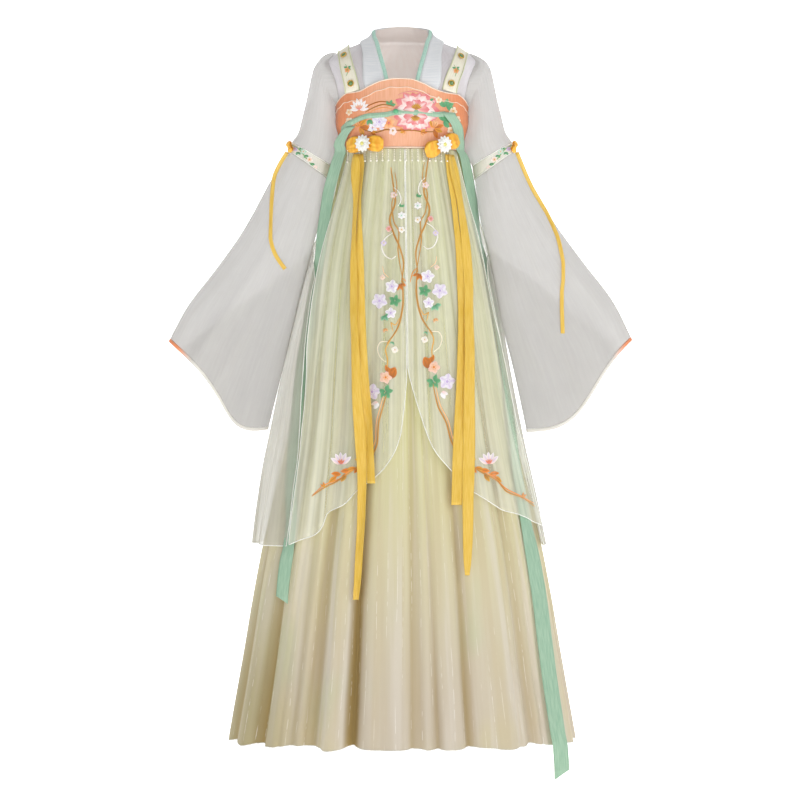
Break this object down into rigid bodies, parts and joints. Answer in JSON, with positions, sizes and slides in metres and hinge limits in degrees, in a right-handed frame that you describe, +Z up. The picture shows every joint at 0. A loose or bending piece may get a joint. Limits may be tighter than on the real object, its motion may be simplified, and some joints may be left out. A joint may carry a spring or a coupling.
{
  "type": "hanfu robe",
  "caption": "Chest-high Tang-style robe with a sheer flared-sleeve jacket, an embroidered peach bodice, a pale green skirt under a sheer overskirt, and mint ties",
  "frame": {"origin": "on the middle line between the shoulders, level with the shoulder tops, at mid depth", "axes": "+Z up, -Y out of the wearer's chest, +X to the image's right as seen from the front"},
  "size_m": [0.9278, 0.5299, 1.4943],
  "materials": {
    "sheer_white": "matt",
    "collar_cloth": "matt",
    "mint_trim": "satin",
    "beige_lining": "matt",
    "sleeve_cloth": "matt",
    "lace": "matt",
    "peach": "satin",
    "strap_cloth": "satin",
    "gem": "polished",
    "mint": "satin",
    "green_skirt": "matt",
    "over_cloth": "matt",
    "silk": "satin",
    "yellow": "satin"
  },
  "bodies": {
    "root": {"belt": "mint", "bodice_back": "peach", "bodice_front": "peach", "bow_left": "yellow", "bow_right": "yellow", "button_left_1": "gem", "button_left_2": "gem", "button_right_1": "gem", "button_right_2": "gem", "collar": "collar_cloth", "collar_trim_left": "mint_trim", "collar_trim_right": "mint_trim", "cuff_binding_left": "peach", "cuff_binding_right": "peach", "elbow_band_left": "lace", "elbow_band_right": "lace", "flower_left": "silk", "flower_right": "silk", "jacket_back": "sheer_white", "jacket_front_left": "sheer_white", "jacket_front_right": "sheer_white", "neck_lining": "beige_lining", "overskirt_back": "over_cloth", "overskirt_left": "over_cloth", "overskirt_right": "over_cloth", "ribbon_left_long": "yellow", "ribbon_left_short": "yellow", "ribbon_right_long": "yellow", "ribbon_right_short": "yellow", "skirt": "green_skirt", "sleeve_bow_left": "yellow", "sleeve_bow_right": "yellow", "sleeve_lower_left": "sleeve_cloth", "sleeve_lower_right": "sleeve_cloth", "sleeve_ribbon_left": "yellow", "sleeve_ribbon_right": "yellow", "sleeve_upper_left": "sleeve_cloth", "sleeve_upper_right": "sleeve_cloth", "strap_left": "strap_cloth", "strap_right": "strap_cloth", "tie_left": "mint", "tie_right": "mint"}
  },
  "joints": []
}
